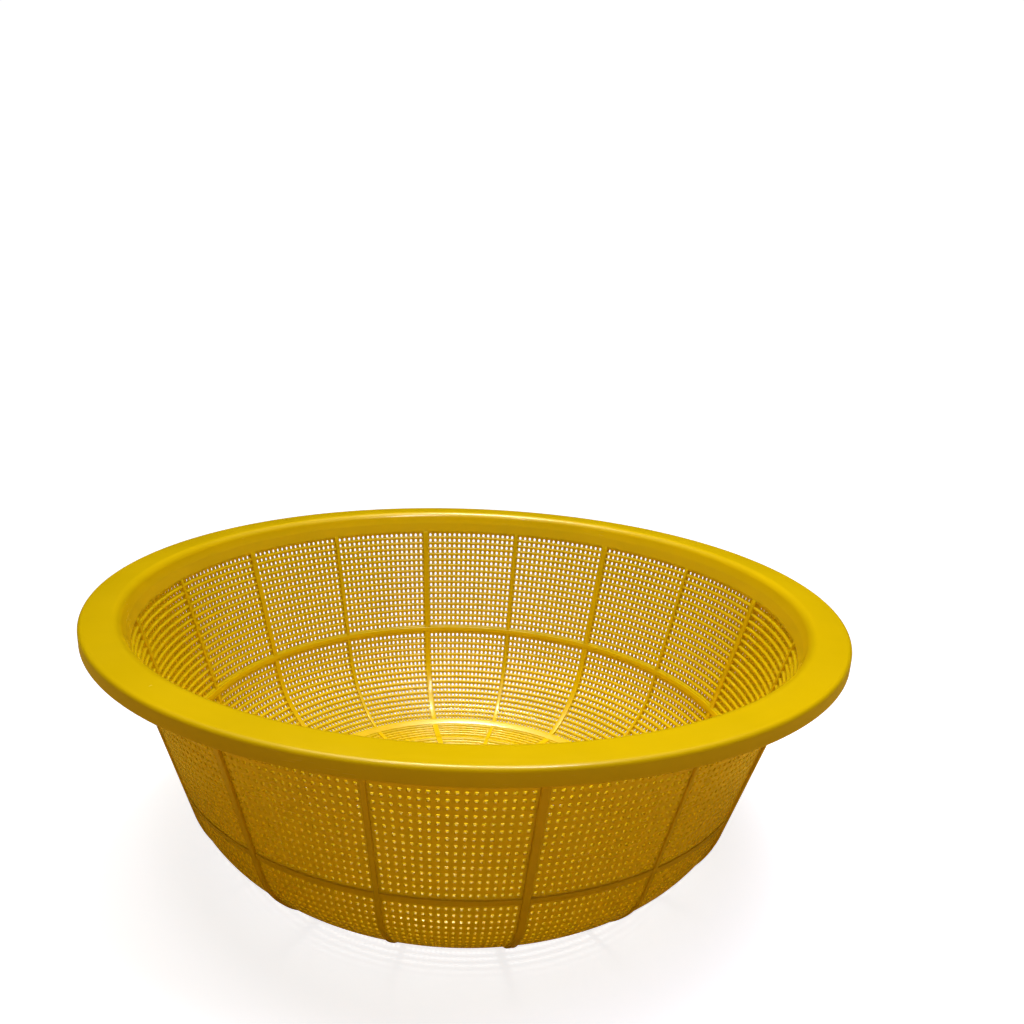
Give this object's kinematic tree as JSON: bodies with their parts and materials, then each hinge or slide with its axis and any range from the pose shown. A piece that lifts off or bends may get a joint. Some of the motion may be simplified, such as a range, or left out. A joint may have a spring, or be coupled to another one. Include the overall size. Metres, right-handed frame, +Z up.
{
  "type": "sieve basin",
  "caption": "Deep round plastic basin with a wide rim and a finely perforated, ribbed wall and base, for washing and draining gravel, grain or food.",
  "frame": {"origin": "centre of the circle that the foot ring stands on", "axes": "+Z up through the middle of the basin, towards its open mouth"},
  "size_m": [0.44, 0.44, 0.159],
  "materials": {
    "rim_plastic": "glossy moulded polypropylene, smooth",
    "mesh_plastic": "glossy moulded polypropylene, fine mesh",
    "rib_plastic": "glossy moulded polypropylene, ribs and bands"
  },
  "bodies": {
    "root": {"centre_base_hoops": "mesh_plastic", "centre_base_strands": "mesh_plastic", "collar": "rim_plastic", "corner_hoops": "mesh_plastic", "corner_strands": "mesh_plastic", "foot_ring": "rib_plastic", "hub": "rim_plastic", "inner_base_hoops": "mesh_plastic", "inner_base_strands": "mesh_plastic", "large_base_ring": "rib_plastic", "medium_base_ring": "rib_plastic", "middle_base_hoops": "mesh_plastic", "middle_base_strands": "mesh_plastic", "narrow_spokes": "rib_plastic", "narrow_wall_ribs": "rib_plastic", "outer_base_hoops": "mesh_plastic", "outer_base_strands": "mesh_plastic", "rim_flange": "rim_plastic", "rim_lip": "rim_plastic", "small_base_ring": "rib_plastic", "upper_wall_hoops": "mesh_plastic", "upper_wall_strands": "mesh_plastic", "waist_band": "rib_plastic", "wide_spokes": "rib_plastic", "wide_wall_ribs": "rib_plastic"}
  },
  "joints": []
}
